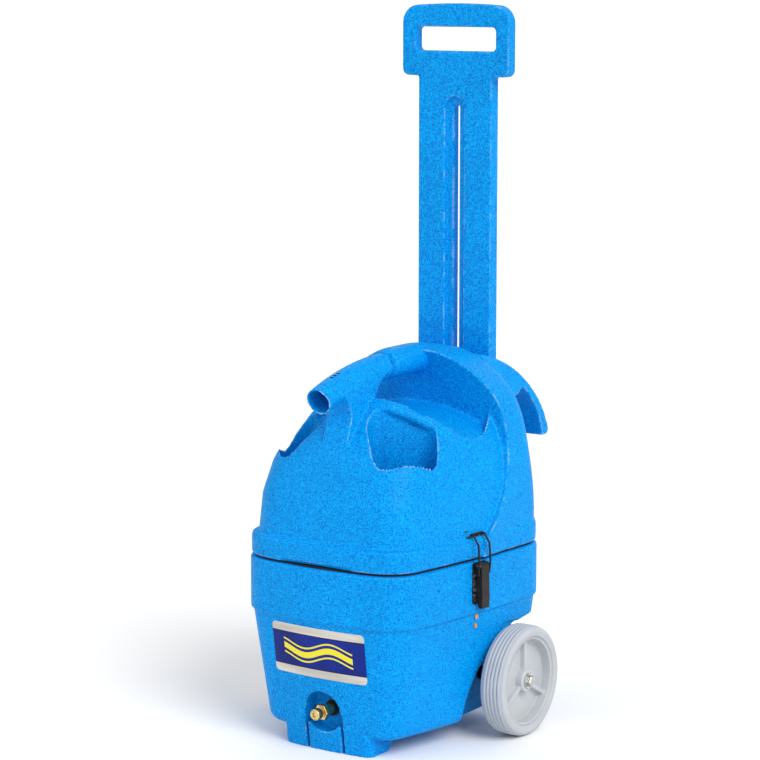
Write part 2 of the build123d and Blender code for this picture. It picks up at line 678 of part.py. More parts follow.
PIVOT_OUT = 7.0
PIN_R = 1.6
LATCH_PLATE_T = 1.6
LATCH_PLATE_Z = (197.0, 254.0)
with BuildPart() as latch_base:
    with BuildSketch(latch_plane(FIT)):
        with Locations((0, sum(LATCH_PLATE_Z) / 2)):
            RectangleRounded(27, LATCH_PLATE_Z[1] - LATCH_PLATE_Z[0], 4)
    extrude(amount=LATCH_PLATE_T)
    for start in (LEVER_W / 2 + FIT + 1.4, -LEVER_W / 2 - FIT):
        with BuildSketch(latch_side_plane(start)):
            with Locations((PIVOT_OUT, LATCH_Z)):
                Circle(4)
            with Locations((PIVOT_OUT / 2 + 0.4, LATCH_Z - 3)):
                Rectangle(PIVOT_OUT - 0.8, 14)
            with Locations((PIVOT_OUT, LATCH_Z)):
                Circle(PIN_R, mode=Mode.SUBTRACT)
        extrude(amount=1.4)

with BuildPart() as latch_pin:
    pin_half = LEVER_W / 2 + FIT + 1.4
    with BuildSketch(latch_side_plane(pin_half)):
        with Locations((PIVOT_OUT, LATCH_Z)):
            Circle(PIN_R - 0.03)
    extrude(amount=2 * pin_half)

BAIL_Z = LATCH_Z - BAIL_PIVOT_DROP
BAIL_OUT = PIVOT_OUT + 2.0
BAIL_BEND_R = 2.0
LEVER_BOTTOM_Z = LATCH_Z - LEVER_L
with BuildPart() as latch_lever:
    with BuildSketch(latch_side_plane(LEVER_W / 2)):
        with BuildLine():
            lever_in = LATCH_PLATE_T + FIT + 0.6
            Polyline((lever_in, LATCH_Z + 1), (lever_in, LEVER_BOTTOM_Z + 12), (lever_in + 4, LEVER_BOTTOM_Z),
                     (lever_in + 10, LEVER_BOTTOM_Z), (lever_in + 11, LEVER_BOTTOM_Z + 14),
                     (PIVOT_OUT + 5, LATCH_Z - 10), (PIVOT_OUT + 4.5, LATCH_Z + 1))
            ThreePointArc((PIVOT_OUT + 4.5, LATCH_Z + 1), (PIVOT_OUT, LATCH_Z + 4.4), (lever_in, LATCH_Z + 1))
        make_face()
        with Locations((PIVOT_OUT, LATCH_Z)):
            Circle(PIN_R + 0.03, mode=Mode.SUBTRACT)
        with Locations((BAIL_OUT, BAIL_Z)):
            Circle(BAIL_WIRE_R + 0.05, mode=Mode.SUBTRACT)
    extrude(amount=LEVER_W)

CROSSBAR_Z = SKIRT_TOP_Z + 3.3
CROSSBAR_OUT = -4.6
with BuildPart() as latch_bail:
    def bail_leg(side):
        return [latch_point(BAIL_OUT, side * 4.5, BAIL_Z), latch_point(BAIL_OUT, side * BAIL_HALF, BAIL_Z),
                latch_point(BAIL_OUT + 2.0, side * BAIL_HALF, BAIL_Z + 18),
                latch_point(BAIL_OUT, side * BAIL_HALF, CROSSBAR_Z - 12),
                latch_point(CROSSBAR_OUT + 5, side * BAIL_HALF, CROSSBAR_Z - 0.5),
                latch_point(CROSSBAR_OUT, side * BAIL_HALF, CROSSBAR_Z)]
    with BuildLine() as bail_path:
        FilletPolyline(*bail_leg(-1), *reversed(bail_leg(1)), radius=BAIL_BEND_R)
    start_point, start_direction = bail_path.line @ 0, bail_path.line % 0
    with BuildSketch(Plane(origin=start_point, z_dir=start_direction)):
        Circle(BAIL_WIRE_R)
    sweep(path=bail_path.line)

KEEPER_HALF = 20.0
with BuildPart() as latch_keeper:
    with BuildSketch(latch_side_plane(KEEPER_HALF)):
        with BuildLine():
            Polyline((-9.5, SKIRT_TOP_Z + 0.1), (-2.8, SKIRT_TOP_Z + 0.1), (-2.8, SKIRT_TOP_Z + 1.6),
                     (-7.6, SKIRT_TOP_Z + 1.6), (-7.6, SKIRT_TOP_Z + 9), (-9.5, SKIRT_TOP_Z + 9), close=True)
        make_face()
    extrude(amount=2 * KEEPER_HALF)

RIVET_R = 1.9
BACKING_T = 1.6
BELT_WALL = WALL + BELT_STEP
BELT_RIVETS = [(along, up) for along in (-10.6, 10.6) for up in (217.0, 236.5)]
TANK_RIVETS = [(0.0, 177.5), (0.0, 165.0)]
with BuildPart() as latch_backing:
    with BuildSketch(latch_plane(-BELT_WALL - BACKING_T)):
        with Locations((0, 228.5)):
            Rectangle(27, 32)
    extrude(amount=BACKING_T + 0.5)
    add(base_tank.part, mode=Mode.SUBTRACT)

rivet_holes = [latch_plane(-20, along, up) for along, up in BELT_RIVETS + TANK_RIVETS]
with BuildPart() as rivet_bores:
    for hole in rivet_holes:
        with BuildSketch(hole):
            Circle(RIVET_R)
        extrude(amount=40)

with BuildPart() as latch_rivets:
    plate_face = FIT + LATCH_PLATE_T
    for along, up in BELT_RIVETS:
        add(tube(latch_plane(-BELT_WALL - BACKING_T, along, up), RIVET_R - 0.02, 0, BELT_WALL + BACKING_T + plate_face))
        add(tube(latch_plane(plate_face, along, up), 2.5, 0, 0.9))
        add(tube(latch_plane(-BELT_WALL - BACKING_T - 1.2, along, up), 3.2, 0, 1.2))

with BuildPart() as tank_rivets:
    for along, up in TANK_RIVETS:
        wall_out = -tank_inset(up)
        add(tube(latch_plane(wall_out - 3, along, up), 3.4, 0, 4.2))
    add(outer_tank, mode=Mode.SUBTRACT)
    for along, up in TANK_RIVETS:
        wall_out = -tank_inset(up)
        add(tube(latch_plane(wall_out - WALL - 2, along, up), RIVET_R - 0.02, 0, WALL + 2.8))
        add(tube(latch_plane(wall_out - WALL - 2.2, along, up), 3.0, 0, 1.2))

with BuildPart() as latch_plate_done:
    add(latch_base.part)
    add(rivet_bores.part, mode=Mode.SUBTRACT)
with BuildPart() as backing_done:
    add(latch_backing.part)
    add(rivet_bores.part, mode=Mode.SUBTRACT)
with BuildPart() as keeper_done:
    add(latch_keeper.part)
    add(dome_shell_done.part, mode=Mode.SUBTRACT)

for side, place in SIDES:
    finish(place(latch_plate_done.part), f"latch_base_{side}")
    finish(place(latch_lever.part), f"latch_lever_{side}")
    finish(place(latch_bail.part), f"latch_bail_{side}")
for pieces, name in ((latch_pin, "latch_pins"), (backing_done, "latch_backings"), (latch_rivets, "latch_rivets"),
                     (tank_rivets, "tank_rivets"), (keeper_done, "latch_keepers")):
    finish(both_sides(pieces.part), name)


# ================================================================ label and coupling
LABEL_X, LABEL_Z, LABEL_W, LABEL_H, LABEL_T = 0.0, 139.0, 148.0, 70.0, 0.6
with BuildPart() as label_plate:
    with BuildSketch(Plane.XZ.offset(190)):
        with Locations((LABEL_X, LABEL_Z)):
            RectangleRounded(LABEL_W, LABEL_H, 6)
    extrude(amount=60)
    add(lower_tank(-LABEL_T, TANK_FLOOR_Z, BELT_BOTTOM_Z + 2), mode=Mode.INTERSECT)
    add(outer_tank, mode=Mode.SUBTRACT)
finish(label_plate.part, "label_plate")

NICHE_WALL_Y = NICHE_BACK_Y + WALL
NOSE_Y = -219.0
HEX_Y = (-205.0, -195.0)
with BuildPart() as coupling_body:
    # nose and neck of the plug, hexagon, shank through the wall
    add(tube(y_plane(NOSE_Y, z=NICHE_Z), 7.6, 0, 6.5))
    chamfer(edges().group_by(Axis.Y)[0], length=1.2)
    add(tube(y_plane(NOSE_Y + 6.5, z=NICHE_Z), 5.2, 0, 3.5))
    add(tube(y_plane(NOSE_Y + 10, z=NICHE_Z), 6.8, 0, HEX_Y[0] - NOSE_Y - 10))
    add(hexagon(y_plane(HEX_Y[0], z=NICHE_Z), 19.0, HEX_Y[1] - HEX_Y[0]))
    add(tube(y_plane(HEX_Y[1], z=NICHE_Z), 7.2, 0, NICHE_BACK_Y - 2.2 - HEX_Y[1]))
    add(tube(y_plane(NICHE_BACK_Y - 2.2, z=NICHE_Z), COUPLING_BORE_R - 0.05, 0, 14))
    add(tube(y_plane(NOSE_Y - 1, z=NICHE_Z), 3.0, 0, 60), mode=Mode.SUBTRACT)
finish(coupling_body.part, "coupling_body")

with BuildPart() as coupling_poppet:
    add(tube(y_plane(NOSE_Y + 1.0, z=NICHE_Z), 2.7, 0, 8))
    fillet(edges().group_by(Axis.Y)[0], radius=1)
finish(coupling_poppet.part, "coupling_poppet")

with BuildPart() as coupling_o_ring:
    with BuildSketch(Plane.XY.offset(NICHE_Z)):
        with Locations((6.55, NOSE_Y + 8.2)):
            Circle(1.3)
    revolve(axis=Axis((0, 0, NICHE_Z), (0, 1, 0)))
finish(coupling_o_ring.part, "coupling_o_ring")
finish(tube(y_plane(NICHE_BACK_Y - 2.0, z=NICHE_Z), 11.0, COUPLING_BORE_R, 1.9), "coupling_washer")
with BuildPart() as coupling_locknut:
    add(hexagon(y_plane(NICHE_WALL_Y + 0.05, z=NICHE_Z), 16.0, 5.0))
    add(tube(y_plane(NICHE_WALL_Y - 5, z=NICHE_Z), COUPLING_BORE_R, 0, 20), mode=Mode.SUBTRACT)
finish(coupling_locknut.part, "coupling_locknut")

# ================================================================ inside the base
DECK_Z, DECK_T = 206.0, 4.0
MOTOR_Y = 28.0
BULKHEAD_Y, BULKHEAD_T = -104.0, 4.0
FAN_R, MOTOR_R = 70.0, 48.0
PICKUP_X, PICKUP_Z = -24.0, 46.0
with BuildPart() as equipment_deck:
    with BuildSketch(Plane.XY.offset(DECK_Z)):
        draw_grown_plan(-BELT_WALL - 0.4)
        with Locations((0, MOTOR_Y)):
            Circle(FAN_R - 8, mode=Mode.SUBTRACT)
        with Locations((0, -150)):
            SlotOverall(90, 60, mode=Mode.SUBTRACT)
    extrude(amount=DECK_T)
finish(equipment_deck.part, "equipment_deck")

with BuildPart() as tank_bulkhead:
    with BuildSketch(Plane.XZ.offset(-BULKHEAD_Y)):
        with Locations((0, (TANK_FLOOR_Z + DECK_Z) / 2)):
            Rectangle(400, DECK_Z - TANK_FLOOR_Z)
    extrude(amount=-BULKHEAD_T)
    add(lower_tank(WALL + 0.3, TANK_FLOOR_Z + WALL + 0.2, DECK_Z - 0.2), mode=Mode.INTERSECT)
    add(base_tank.part, mode=Mode.SUBTRACT)
    add(tube(y_plane(BULKHEAD_Y - 5, z=NICHE_Z), 6.6, 0, 20), mode=Mode.SUBTRACT)
    add(tube(y_plane(BULKHEAD_Y - 5, x=PICKUP_X, z=PICKUP_Z), 6.6, 0, 20), mode=Mode.SUBTRACT)
finish(tank_bulkhead.part, "tank_bulkhead")

FAN_CASE_Z = (158.0, DECK_Z)
with BuildPart() as fan_case:
    add(tube(z_plane(FAN_CASE_Z[0], 0, MOTOR_Y), FAN_R, FAN_R - 2, FAN_CASE_Z[1] - FAN_CASE_Z[0]))
    add(tube(z_plane(FAN_CASE_Z[0], 0, MOTOR_Y), FAN_R - 1, 12, 2))
    add(tube(z_plane(DECK_Z + DECK_T, 0, MOTOR_Y), FAN_R, 20, 2))
    add(tube(z_plane(DECK_Z, 0, MOTOR_Y), FAN_R - 8.3, FAN_R - 10.3, DECK_T + 1))
    add(tube(z_plane(DECK_Z - 2, 0, MOTOR_Y), FAN_R, FAN_R - 10.3, 2))
    add(tube(x_plane(-FAN_R - 5, MOTOR_Y, 180), 14, 0, 12), mode=Mode.SUBTRACT)
finish(fan_case.part, "fan_case")

SHAFT_R = 4.0
with BuildPart() as fan_rotor:
    fan_bottom = FAN_CASE_Z[0] + 10
    add(tube(z_plane(fan_bottom, 0, MOTOR_Y), FAN_R - 6, SHAFT_R, 1.5))
    add(tube(z_plane(fan_bottom + 22, 0, MOTOR_Y), FAN_R - 6, 22, 1.5))
    with BuildSketch(z_plane(fan_bottom + 1.4, 0, MOTOR_Y)):
        with PolarLocations(FAN_R - 28, 9):
            Rectangle(34, 1.4, rotation=28)
    extrude(amount=20.8)
    add(tube(z_plane(fan_bottom, 0, MOTOR_Y), 9, SHAFT_R, 14))
finish(fan_rotor.part, "fan_rotor")
finish(tube(z_plane(94, 0, MOTOR_Y), SHAFT_R - 0.01, 0, fan_bottom + 12 - 94), "motor_shaft")

MOTOR_Z = (88.0, 146.0)
with BuildPart() as motor_body:
    add(tube(z_plane(MOTOR_Z[0], 0, MOTOR_Y), MOTOR_R, 0, MOTOR_Z[1] - MOTOR_Z[0]))
    fillet(edges().group_by(Axis.Z)[0], radius=6)
    add(tube(z_plane(MOTOR_Z[1], 0, MOTOR_Y), MOTOR_R - 10, 0, FAN_CASE_Z[0] - MOTOR_Z[1]))
    add(tube(z_plane(92, 0, MOTOR_Y), SHAFT_R + 0.06, 0, 90), mode=Mode.SUBTRACT)
finish(motor_body.part, "vac_motor")

INLET_Z = (DECK_Z + DECK_T + 2, SKIRT_BOTTOM_Z - 4)
inlet_reach = STANDPIPE_Y - MOTOR_Y
with BuildPart() as fan_inlet:
    with BuildSketch(z_plane(INLET_Z[0], 0, (MOTOR_Y + STANDPIPE_Y) / 2)):
        SlotCenterToCenter(inlet_reach, 54, rotation=90)
        SlotCenterToCenter(inlet_reach, 46, rotation=90, mode=Mode.SUBTRACT)
    extrude(amount=INLET_Z[1] - INLET_Z[0] - 4)
    with BuildSketch(z_plane(INLET_Z[1] - 4, 0, (MOTOR_Y + STANDPIPE_Y) / 2)):
        SlotCenterToCenter(inlet_reach, 54, rotation=90)
        with Locations((0, inlet_reach / 2)):
            Circle(STANDPIPE_R, mode=Mode.SUBTRACT)
    extrude(amount=4)
finish(fan_inlet.part, "fan_inlet")
finish(tube(z_plane(INLET_Z[1], 0, STANDPIPE_Y), 26, STANDPIPE_R, SKIRT_BOTTOM_Z - FIT - INLET_Z[1]), "inlet_seal")

PUMP_SPLIT_X, PUMP_Y, PUMP_Z = 12.0, -74.0, 56.0
with BuildPart() as pump_body:
    with BuildSketch(z_plane(TANK_FLOOR_Z + WALL + 0.1, 48, PUMP_Y)):
        RectangleRounded(68, 44, 6)
    extrude(amount=6)
    with BuildSketch(Plane.YZ.offset(PUMP_SPLIT_X)):
        with Locations((PUMP_Y, PUMP_Z)):
            Circle(19)
    extrude(amount=72)
    with BuildSketch(z_plane(TANK_FLOOR_Z + WALL + 5, 48, PUMP_Y)):
        Rectangle(60, 26)
    extrude(amount=14)
finish(pump_body.part, "pump_motor")
with BuildPart() as pump_head:
    with BuildSketch(Plane.YZ.offset(PUMP_SPLIT_X - 52)):
        with Locations((PUMP_Y, PUMP_Z)):
            RectangleRounded(44, 40, 6)
    extrude(amount=51.9)
finish(pump_head.part, "pump_head")

HOSE_R = 6.0
with BuildPart() as pressure_hose:
    add(tube(y_plane(NICHE_WALL_Y + 5.2, z=NICHE_Z), HOSE_R, COUPLING_BORE_R + 0.02, 8))
    add(tube(y_plane(NICHE_WALL_Y + 5.2 + 7.9, z=NICHE_Z), HOSE_R, 3.2, PUMP_Y - 22.1 - NICHE_WALL_Y - 13.1))
finish(pressure_hose.part, "pressure_hose")
with BuildPart() as pickup_hose:
    add(tube(y_plane(-128, x=PICKUP_X, z=PICKUP_Z), HOSE_R, 3.5, PUMP_Y - 22.1 + 128))
finish(pickup_hose.part, "pickup_hose")
with BuildPart() as strainer:
    add(tube(y_plane(-168, x=PICKUP_X, z=PICKUP_Z), 12, 10.5, 40))
    add(tube(y_plane(-169.5, x=PICKUP_X, z=PICKUP_Z), 12, 0, 1.6))
    add(tube(y_plane(-128.1, x=PICKUP_X, z=PICKUP_Z), 12, 3.5, 0.1))
    with BuildSketch(z_plane(20, PICKUP_X, -148)):
        with GridLocations(0, 6, 1, 5):
            Rectangle(30, 2.4)
    extrude(amount=27, mode=Mode.SUBTRACT)
finish(strainer.part, "pickup_strainer")

# ================================================================ rear panel of the base
PANEL_X, PANEL_Z = 82.0, 216.0
BEZEL_T = 2.5
with BuildPart() as switch_bezel:
    with BuildSketch(y_plane(REAR_Y + 0.05, PANEL_X, PANEL_Z)):
        RectangleRounded(32, 58, 4)
    extrude(amount=BEZEL_T)
    with BuildSketch(y_plane(REAR_Y, PANEL_X, PANEL_Z)):
        with Locations((0, 14), (0, -14)):
            Rectangle(14.6, 21.6)
    extrude(amount=BEZEL_T + 1, mode=Mode.SUBTRACT)
finish(switch_bezel.part, "switch_bezel")

with BuildPart() as rocker:
    with BuildSketch(Plane.YZ.offset(PANEL_X - 6.8)):
        with BuildLine():
            Polyline((REAR_Y - 2, 5), (REAR_Y + 1.2, 8.8), (REAR_Y + 5.2, 9.0), (REAR_Y + 2.4, 0),
                     (REAR_Y + 2.9, -9.0), (REAR_Y + 0.6, -8.8), (REAR_Y - 2, -5), close=True)
        make_face()
    extrude(amount=13.6)
for name, offset_z in (("rocker_vacuum", 14), ("rocker_pump", -14)):
    with BuildPart() as rocker_placed:
        add(rocker.part.moved(Location((0, 0, PANEL_Z + offset_z))))
    finish(rocker_placed.part, name)

with BuildPart() as power_inlet:
    with BuildSketch(y_plane(REAR_Y + 0.05, -PANEL_X, PANEL_Z)):
        RectangleRounded(30, 40, 3)
    extrude(amount=4)
    with BuildSketch(y_plane(REAR_Y + 1.5, -PANEL_X, PANEL_Z)):
        Circle(11)
    extrude(amount=6, mode=Mode.SUBTRACT)
    with BuildSketch(y_plane(REAR_Y + 1, -PANEL_X, PANEL_Z)):
        with Locations((-4, 3), (4, 3), (0, -5)):
            Rectangle(1.6, 4.5)
    extrude(amount=3)
finish(power_inlet.part, "power_inlet")

GRILLE_Z = 112.0
grille_rear_y = REAR_Y - tank_inset(GRILLE_Z)
with BuildPart() as exhaust_grille:
    with BuildSketch(Plane.XZ.offset(-grille_rear_y + 6)):
        with Locations((0, GRILLE_Z)):
            RectangleRounded(84, 50, 5)
            with GridLocations(0, 7, 1, 5):
                Rectangle(68, 3, mode=Mode.SUBTRACT)
    extrude(amount=-11)
    add(lower_tank(0, TANK_FLOOR_Z, BELT_BOTTOM_Z + 2), mode=Mode.SUBTRACT)
    add(lower_tank(-2.5, TANK_FLOOR_Z, BELT_BOTTOM_Z + 2), mode=Mode.INTERSECT)
finish(exhaust_grille.part, "exhaust_grille")

with BuildPart() as base_tank_done:
    add(base_tank.part)
    for bores in (rivet_bores.part, mirrored(rivet_bores.part)):
        add(bores, mode=Mode.SUBTRACT)
    # exhaust vents behind the grille and openings behind the rear panels
    with BuildSketch(Plane.XZ.offset(-grille_rear_y - 5)):
        with Locations((0, GRILLE_Z)):
            with GridLocations(0, 7, 1, 5):
                Rectangle(68, 3)
    extrude(amount=20, mode=Mode.SUBTRACT)
    with BuildSketch(Plane.XZ.offset(-REAR_Y - 5)):
        with Locations((PANEL_X, PANEL_Z + 14), (PANEL_X, PANEL_Z - 14)):
            Rectangle(14.6, 21.6)
    extrude(amount=20, mode=Mode.SUBTRACT)
finish(base_tank_done.part, "base_tank")

# ================================================================ inside the dome
with BuildPart() as dome_gasket:
    with BuildSketch(Plane.XY.offset(BELT_TOP_Z + 0.1)):
        draw_grown_plan(-6)
    extrude(amount=SKIRT_BOTTOM_Z - BELT_TOP_Z - 0.1 - FIT)
    with BuildSketch(Plane.XY.offset(BELT_TOP_Z)):
        draw_grown_plan(-12)
    extrude(amount=5, mode=Mode.SUBTRACT)
finish(dome_gasket.part, "dome_gasket")

STANDPIPE_TOP_Z = 476.0
WINDOW_Z = (444.0, 468.0)
FLOAT_REST_Z = 404.0
FLOAT_H = 34.0
with BuildPart() as standpipe:
    add(tube(z_plane(SKIRT_BOTTOM_Z + 0.1, 0, STANDPIPE_Y), STANDPIPE_R, STANDPIPE_R - STANDPIPE_WALL,
             STANDPIPE_TOP_Z - SKIRT_BOTTOM_Z - 0.1))
    add(tube(z_plane(STANDPIPE_TOP_Z - 2, 0, STANDPIPE_Y), STANDPIPE_R + 3, 0, 3))
    with BuildSketch(z_plane(WINDOW_Z[0], 0, STANDPIPE_Y)):
        with PolarLocations(STANDPIPE_R, 4):
            Rectangle(8, 12)
    extrude(amount=WINDOW_Z[1] - WINDOW_Z[0], mode=Mode.SUBTRACT)
finish(standpipe.part, "standpipe")
finish(tube(z_plane(FLOAT_REST_Z - 4.3, 0, STANDPIPE_Y), STANDPIPE_R + 3, STANDPIPE_R, 4), "float_stop")
with BuildPart() as float_collar:
    add(tube(z_plane(FLOAT_REST_Z, 0, STANDPIPE_Y), STANDPIPE_R + 5.0, STANDPIPE_R + 0.5, FLOAT_H))
    fillet(edges().group_by(Axis.Z)[0] + edges().group_by(Axis.Z)[-1], radius=1)
finish(float_collar.part, "float_collar")

# ================================================================ handle guide on the dome's rear wall
GUIDE_SLEEVE_R = 9.0
guide_face_y = HANDLE_FRONT_Y + CHANNEL_DEPTH
finish(tube(y_plane(HUMP_REAR_Y + 0.05, z=GUIDE_Z), GUIDE_SLEEVE_R, 3.1, guide_face_y - FIT - HUMP_REAR_Y - 0.05),
       "guide_sleeve")
nut_y = HANDLE_FRONT_Y + HANDLE_T + FIT
with BuildPart() as guide_bolt:
    add(hexagon(y_plane(HUMP_REAR_Y - WALL - 4.1, z=GUIDE_Z), 10, 4))
    add(tube(y_plane(HUMP_REAR_Y - WALL - 0.2, z=GUIDE_Z), 3.0, 0, nut_y + 9 - HUMP_REAR_Y + WALL + 0.2))
finish(guide_bolt.part, "guide_bolt")
finish(tube(y_plane(nut_y, z=GUIDE_Z), 11.0, 3.05, 1.6), "guide_washer")
with BuildPart() as guide_nut:
    add(hexagon(y_plane(nut_y + 1.65, z=GUIDE_Z), 10, 6))
    add(tube(y_plane(nut_y - 1, z=GUIDE_Z), 3.05, 0, 12), mode=Mode.SUBTRACT)
finish(guide_nut.part, "guide_nut")
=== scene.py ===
"""Looks of the portable carpet extractor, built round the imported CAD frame. Metres, +Z up, -Y the front."""
import json
import math

import bmesh
import bpy
from mathutils import Matrix, Vector


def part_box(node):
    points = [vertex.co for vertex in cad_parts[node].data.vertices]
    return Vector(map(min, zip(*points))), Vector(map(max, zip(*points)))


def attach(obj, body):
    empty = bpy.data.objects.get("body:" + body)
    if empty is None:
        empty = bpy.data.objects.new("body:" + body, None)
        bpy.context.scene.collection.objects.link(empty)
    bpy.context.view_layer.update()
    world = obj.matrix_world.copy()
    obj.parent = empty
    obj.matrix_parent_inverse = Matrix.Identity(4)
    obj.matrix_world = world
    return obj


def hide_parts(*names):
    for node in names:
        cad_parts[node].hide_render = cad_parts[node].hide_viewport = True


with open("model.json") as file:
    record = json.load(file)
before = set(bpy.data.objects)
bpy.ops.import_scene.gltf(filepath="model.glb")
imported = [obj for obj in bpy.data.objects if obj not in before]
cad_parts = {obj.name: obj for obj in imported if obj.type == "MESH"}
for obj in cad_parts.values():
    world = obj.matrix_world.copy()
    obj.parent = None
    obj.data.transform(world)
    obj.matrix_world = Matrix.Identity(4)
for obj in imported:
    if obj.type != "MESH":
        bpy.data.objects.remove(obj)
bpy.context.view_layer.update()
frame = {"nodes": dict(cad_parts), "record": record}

SCENE = bpy.context.scene
NODES = frame["nodes"]

# ---------------------------------------------------------------- camera, floor and light
CAMERA_PLACE = (1.905, -2.8871, 1.0343)
CAMERA_TURN = (80.866, 0.0, 34.0)         # degrees
CAMERA_LENS = 120.79                      # mm
CAMERA_SENSOR = 36.0                      # mm
FLOOR_EDGE = 250.0                        # half width, far enough to reach the horizon
FLOOR_GREY = 0.93
SKY_STRENGTH = 0.62
# name, direction that the light comes from, power, width in degrees
SUNS = (("key", (0.72, -0.28, 0.64), 2.2, 35), ("front_fill", (-0.55, -0.62, 0.5), 0.55, 60),
        ("back_fill", (-0.2, 0.8, 0.6), 0.4, 60))


def add_camera():
    data = bpy.data.cameras.new("camera")
    data.sensor_width = CAMERA_SENSOR
    data.lens = CAMERA_LENS
    camera = bpy.data.objects.new("camera", data)
    camera.location = CAMERA_PLACE
    camera.rotation_euler = [math.radians(turn) for turn in CAMERA_TURN]
    SCENE.collection.objects.link(camera)
    SCENE.camera = camera


def add_sun(name, towards, power, spread):
    """Soft distant light that comes from the direction towards; spread is its width."""
    data = bpy.data.lights.new(name, "SUN")
    data.energy = power
    data.angle = math.radians(spread)
    light = bpy.data.objects.new(name, data)
    light.rotation_euler = Vector(towards).to_track_quat("Z", "Y").to_euler()
    SCENE.collection.objects.link(light)
    return light


def add_stage():
    """White floor that meets a white surround, with soft light all round."""
    mesh = bpy.data.meshes.new("floor")
    corners = [(FLOOR_EDGE * x, FLOOR_EDGE * y, 0) for x, y in ((-1, -1), (1, -1), (1, 1), (-1, 1))]
    mesh.from_pydata(corners, [], [(0, 1, 2, 3)])
    floor = bpy.data.objects.new("floor", mesh)
    SCENE.collection.objects.link(floor)
    mat = Material("floor_paint")
    mat.shader.inputs["Base Color"].default_value = (*[FLOOR_GREY] * 3, 1)
    mat.shader.inputs["Roughness"].default_value = 0.9
    mesh.materials.append(mat.data)
    world = bpy.data.worlds.new("studio")
    world.use_nodes = True
    sky = world.node_tree.nodes["Background"].inputs
    sky["Color"].default_value = (1.0, 1.0, 1.0, 1)
    sky["Strength"].default_value = SKY_STRENGTH
    SCENE.world = world
    [add_sun(*sun) for sun in SUNS]
    SCENE.view_settings.view_transform = "Standard"


# ---------------------------------------------------------------- materials
class Material:
    """A node material with short calls for the nodes used here."""

    def __init__(self, name):
        self.data = bpy.data.materials.new(name)
        self.data.use_nodes = True
        self.tree = self.data.node_tree
        self.shader = self.tree.nodes["Principled BSDF"]
        self.place = self.tree.nodes.new("ShaderNodeTexCoord").outputs["Object"]

    def node(self, kind, **inputs):
        """Adds a node and sets or links its inputs, named with _ for spaces."""
        made = self.tree.nodes.new(kind)
        for key, value in inputs.items():
            self.feed(made.inputs[key.replace("_", " ")], value)
        return made

    def feed(self, socket, value):
        if isinstance(value, bpy.types.NodeSocket):
            self.tree.links.new(value, socket)
        else:
            socket.default_value = value

    def noise(self, scale, detail=2.0, roughness=0.5, stretch=None):
        vector = self.place
        if stretch:
            vector = self.node("ShaderNodeMapping", Vector=vector, Scale=stretch).outputs["Vector"]
        return self.node("ShaderNodeTexNoise", Vector=vector, Scale=scale, Detail=detail,
                         Roughness=roughness).outputs["Fac"]

    def ramp(self, value, stops):
        """Colour ramp; each stop is a position and a grey or a colour."""
        made = self.node("ShaderNodeValToRGB", Fac=value)
        band = made.color_ramp
        while len(band.elements) < len(stops):
            band.elements.new(0.5)
        for element, (position, tone) in zip(band.elements, stops):
            element.position = position
            element.color = (*(tone if isinstance(tone, tuple) else (tone,) * 3), 1)
        return made.outputs["Color"]

    def mix(self, share, first, second, blend="MIX"):
        made = self.tree.nodes.new("ShaderNodeMix")
        made.data_type = "RGBA"
        made.blend_type = blend
        self.feed(made.inputs["Factor"], share)
        for socket, value in ((made.inputs[6], first), (made.inputs[7], second)):
            self.feed(socket, value if isinstance(value, bpy.types.NodeSocket) else (*value, 1))
        return made.outputs[2]

    def maths(self, operation, first, second=0.0, clamp=False):
        made = self.tree.nodes.new("ShaderNodeMath")
        made.operation = operation
        made.use_clamp = clamp
        self.feed(made.inputs[0], first)
        self.feed(made.inputs[1], second)
        return made.outputs[0]

    def edges(self, low, high):
        """1 on convex edges, 0 elsewhere."""
        sharp = self.node("ShaderNodeNewGeometry").outputs["Pointiness"]
        return self.ramp(sharp, ((low, 0.0), (high, 1.0)))

    def bump(self, height, strength, distance):
        made = self.node("ShaderNodeBump", Height=height, Strength=strength, Distance=distance)
        self.feed(self.shader.inputs["Normal"], made.outputs["Normal"])

    def finish(self, colour, roughness, metallic=0.0, coat=0.0, specular=0.5):
        shader = self.shader.inputs
        shader["Specular IOR Level"].default_value = specular
        self.feed(shader["Base Color"], colour if isinstance(colour, bpy.types.NodeSocket) else (*colour, 1))
        self.feed(shader["Roughness"], roughness)
        shader["Metallic"].default_value = metallic
        shader["Coat Weight"].default_value = coat
        return self.data


def blue_plastic():
    """Rotomoulded azure plastic: fine grains of lighter and darker blue, and pale scuffs on its edges."""
    mat = Material("blue_plastic")
    grain = mat.noise(470.0, 3.0, 0.7)
    colour = mat.ramp(grain, ((0.34, (0.0, 0.12, 0.46)), (0.46, (0.0, 0.235, 0.70)),
                              (0.54, (0.0, 0.32, 0.80)), (0.66, (0.0, 0.44, 0.92))))
    patches = mat.ramp(mat.noise(7.0, 3.0), ((0.35, 0.90), (0.65, 1.0)))
    colour = mat.mix(1.0, colour, patches, "MULTIPLY")
    gaps = mat.ramp(mat.noise(60.0, 5.0, 0.7), ((0.46, 0.0), (0.58, 1.0)))
    worn = mat.maths("MULTIPLY", mat.edges(0.52, 0.57), gaps)
    rubs = mat.ramp(mat.noise(38.0, 8.0, 0.8, (1.0, 1.0, 0.35)), ((0.70, 0.0), (0.76, 0.45)))
    colour = mat.mix(mat.maths("MAXIMUM", mat.maths("MULTIPLY", worn, 0.7), mat.maths("MULTIPLY", rubs, 0.3)),
                     colour, (0.56, 0.66, 0.84))
    waves = mat.maths("MULTIPLY", mat.noise(160.0, 3.0), 0.6)
    peel = mat.maths("ADD", waves, mat.maths("MULTIPLY", grain, 0.4))
    mat.bump(peel, 0.28, 0.0008)
    return mat.finish(colour, mat.ramp(mat.noise(90.0, 4.0), ((0.3, 0.42), (0.7, 0.56))), specular=0.08)


